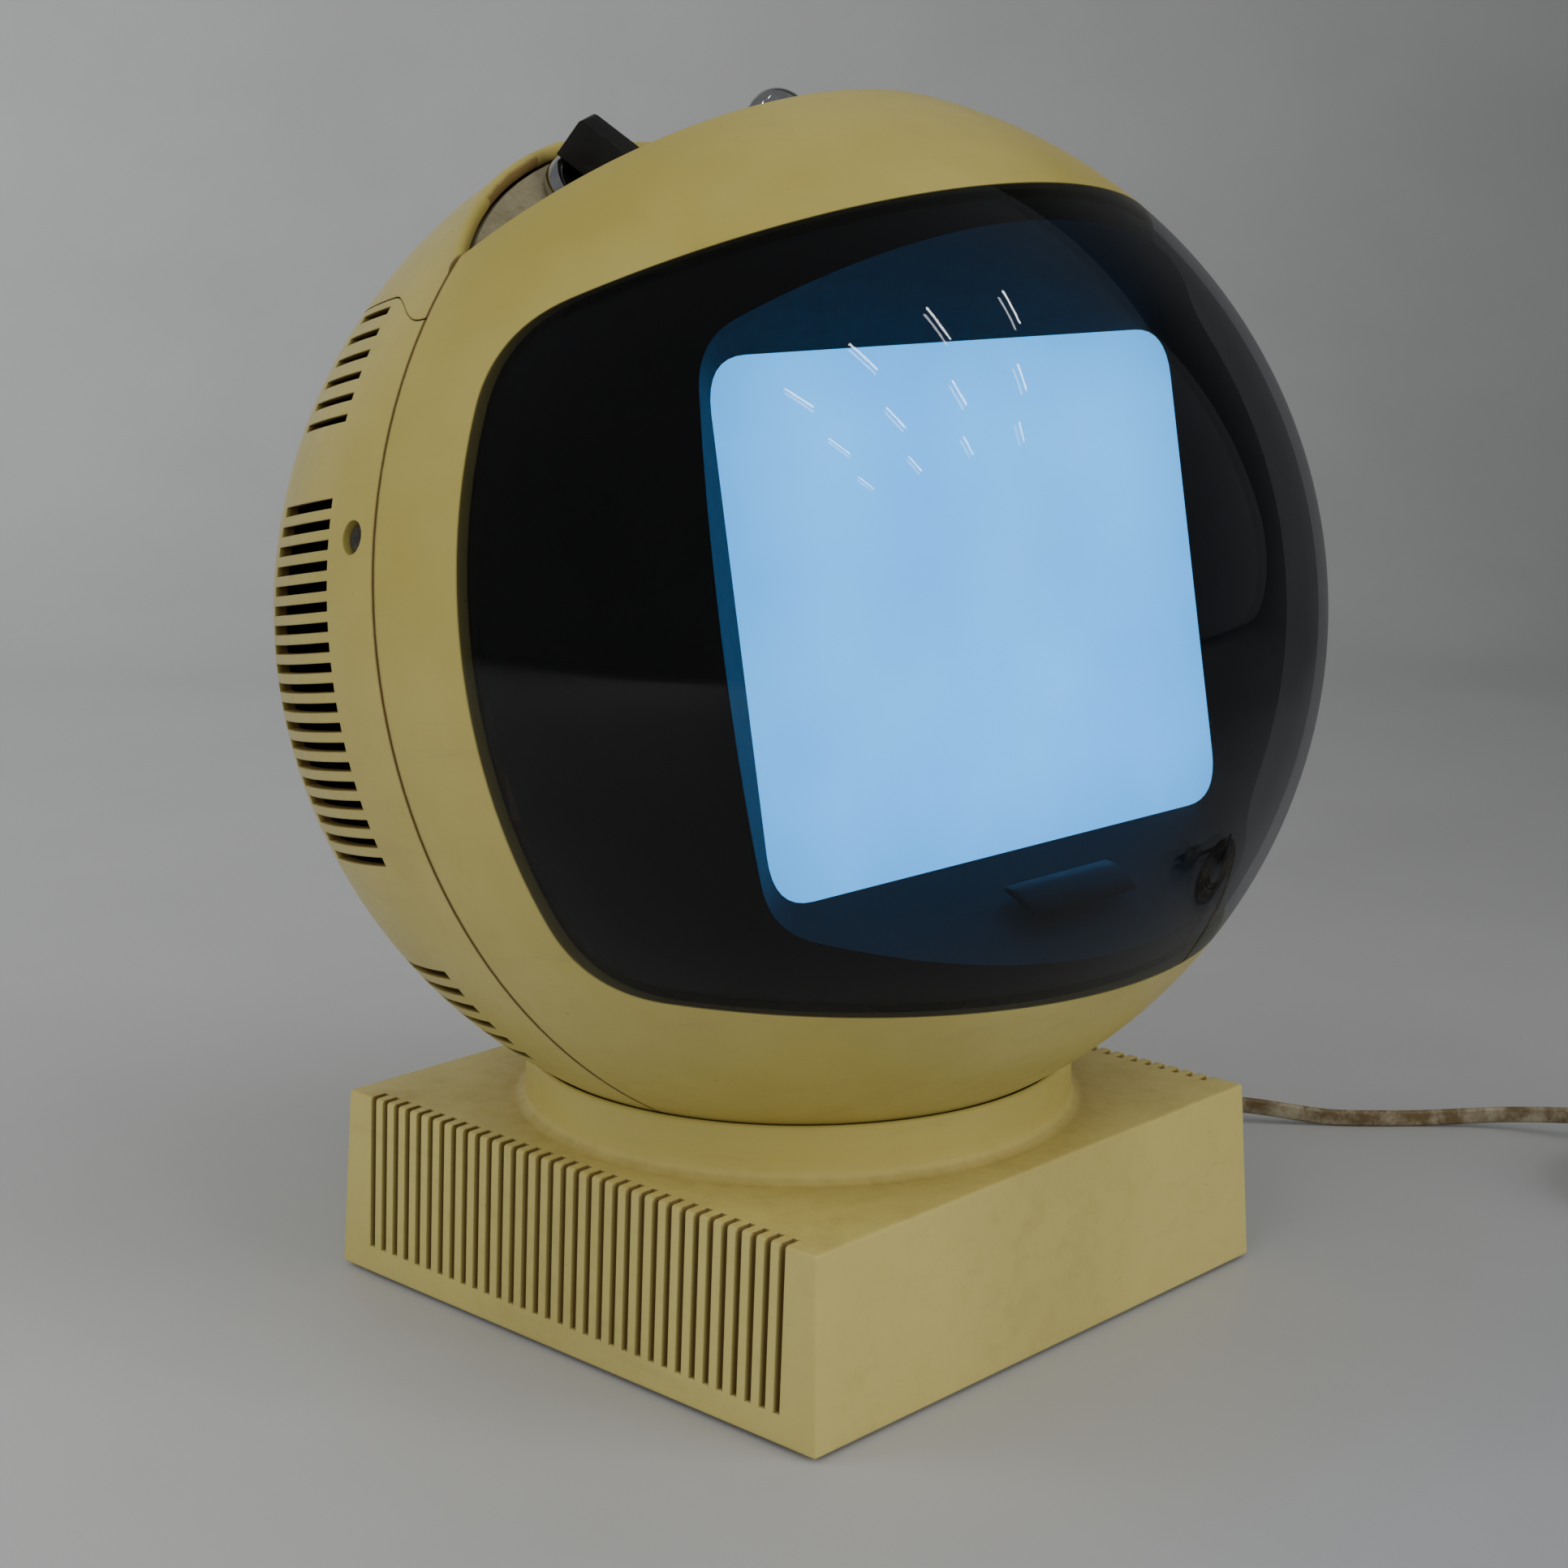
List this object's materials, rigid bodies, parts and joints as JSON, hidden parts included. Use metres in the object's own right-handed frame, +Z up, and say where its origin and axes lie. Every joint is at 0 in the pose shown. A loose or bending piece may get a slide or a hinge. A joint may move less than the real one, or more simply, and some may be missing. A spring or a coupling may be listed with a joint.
{
  "type": "portable television",
  "caption": "Ball-shaped portable television with a smoked visor and a well of controls on top; the ball swivels and tilts in a collared square mains base.",
  "frame": {"origin": "centre of the base at the level of the table it stands on", "axes": "+Z up, the front of the base faces -Y, +X to the right seen from the front"},
  "size_m": [0.4115, 0.3941, 0.324],
  "materials": {
    "cream_plastic": "satin, yellowed",
    "panel_plastic": "soiled satin",
    "black_plastic": "satin",
    "mask_plastic": "matte",
    "smoked_acrylic": "polished, tinted",
    "screen_glass": "polished, lit from behind",
    "chrome": "polished",
    "steel": "plated",
    "copper": "enamelled wire",
    "circuit_board": "bonded paper board with parts",
    "rubber": "matte",
    "nylon": "natural",
    "felt": "pressed felt",
    "cord_jacket": "aged, blotched",
    "card": "dark fibre and ferrite"
  },
  "bodies": {
    "base": {"base_housing": "cream_plastic", "bottom_plate": "black_plastic", "foot_front_left": "rubber", "foot_front_right": "rubber", "foot_rear_right": "rubber", "foot_rear_left": "rubber", "base_screw_front_left": "steel", "base_screw_front_right": "steel", "base_screw_rear_right": "steel", "base_screw_rear_left": "steel", "pivot_plate": "steel", "thrust_washer": "nylon", "transformer_core": "steel", "transformer_winding": "copper", "power_board": "circuit_board", "cord_strain_relief": "rubber", "power_cord": "cord_jacket", "cord_coil": "cord_jacket", "coil_tie": "black_plastic", "plug_body": "cord_jacket", "plug_blade_left": "steel", "plug_blade_right": "steel"},
    "saddle": {"saddle_dish": "steel", "felt_ring": "felt", "pivot_bolt": "steel", "clamp_cup": "steel", "clamp_spring": "steel", "pivot_nut": "steel"},
    "ball": {"front_shell": "cream_plastic", "rear_shell": "cream_plastic", "rear_top_cover": "cream_plastic", "hanging_eye": "chrome", "visor": "smoked_acrylic", "screen_mask": "mask_plastic", "name_block": "black_plastic", "picture_tube": "screen_glass", "tube_band": "steel", "deflection_yoke": "copper", "tube_socket": "black_plastic", "main_board": "circuit_board", "chassis_rail_left": "steel", "chassis_rail_right": "steel", "side_screw_left": "steel", "side_screw_right": "steel", "flyback_transformer": "card", "speaker_frame": "steel", "speaker_cone": "card", "aerial_terminals": "black_plastic", "earphone_jack": "black_plastic", "control_panel": "panel_plastic", "vhf_tuner": "steel", "uhf_tuner": "steel", "control_board": "circuit_board"},
    "vhf_selector": {"vhf_skirt": "chrome", "vhf_bar": "black_plastic"},
    "uhf_selector": {"uhf_skirt": "chrome", "uhf_bar": "black_plastic"},
    "contrast": {"contrast_knob": "black_plastic"},
    "volume": {"volume_knob": "black_plastic"},
    "brightness": {"brightness_knob": "black_plastic"}
  },
  "joints": [
    {"name": "swivel", "type": "hinge", "parent": "base", "child": "saddle", "pos_m": [0, 0, 0.1857], "axis": [0, 0, 1], "range_deg": [-165, 165]},
    {"name": "tilt", "type": "hinge", "parent": "saddle", "child": "ball", "pos_m": [0, 0, 0.1857], "axis": [-0.9996, 0.0297, 0], "range_deg": [-20, 10]},
    {"name": "vhf_turn", "type": "hinge", "parent": "ball", "child": "vhf_selector", "pos_m": [-0.03815, 0.03583, 0.29296], "axis": [-0.0189, -0.6385, 0.7694], "continuous": true},
    {"name": "uhf_turn", "type": "hinge", "parent": "ball", "child": "uhf_selector", "pos_m": [0.04021, 0.03351, 0.29296], "axis": [-0.0189, -0.6385, 0.7694], "range_deg": [-150, 150]},
    {"name": "contrast_turn", "type": "hinge", "parent": "ball", "child": "contrast", "pos_m": [-0.01247, 0.03492, 0.29283], "axis": [-0.0189, -0.6385, 0.7694], "range_deg": [-140, 140]},
    {"name": "volume_turn", "type": "hinge", "parent": "ball", "child": "volume", "pos_m": [0.00102, 0.03452, 0.29283], "axis": [-0.0189, -0.6385, 0.7694], "range_deg": [-20, 260]},
    {"name": "brightness_turn", "type": "hinge", "parent": "ball", "child": "brightness", "pos_m": [0.01452, 0.03412, 0.29283], "axis": [-0.0189, -0.6385, 0.7694], "range_deg": [-140, 140]}
  ]
}
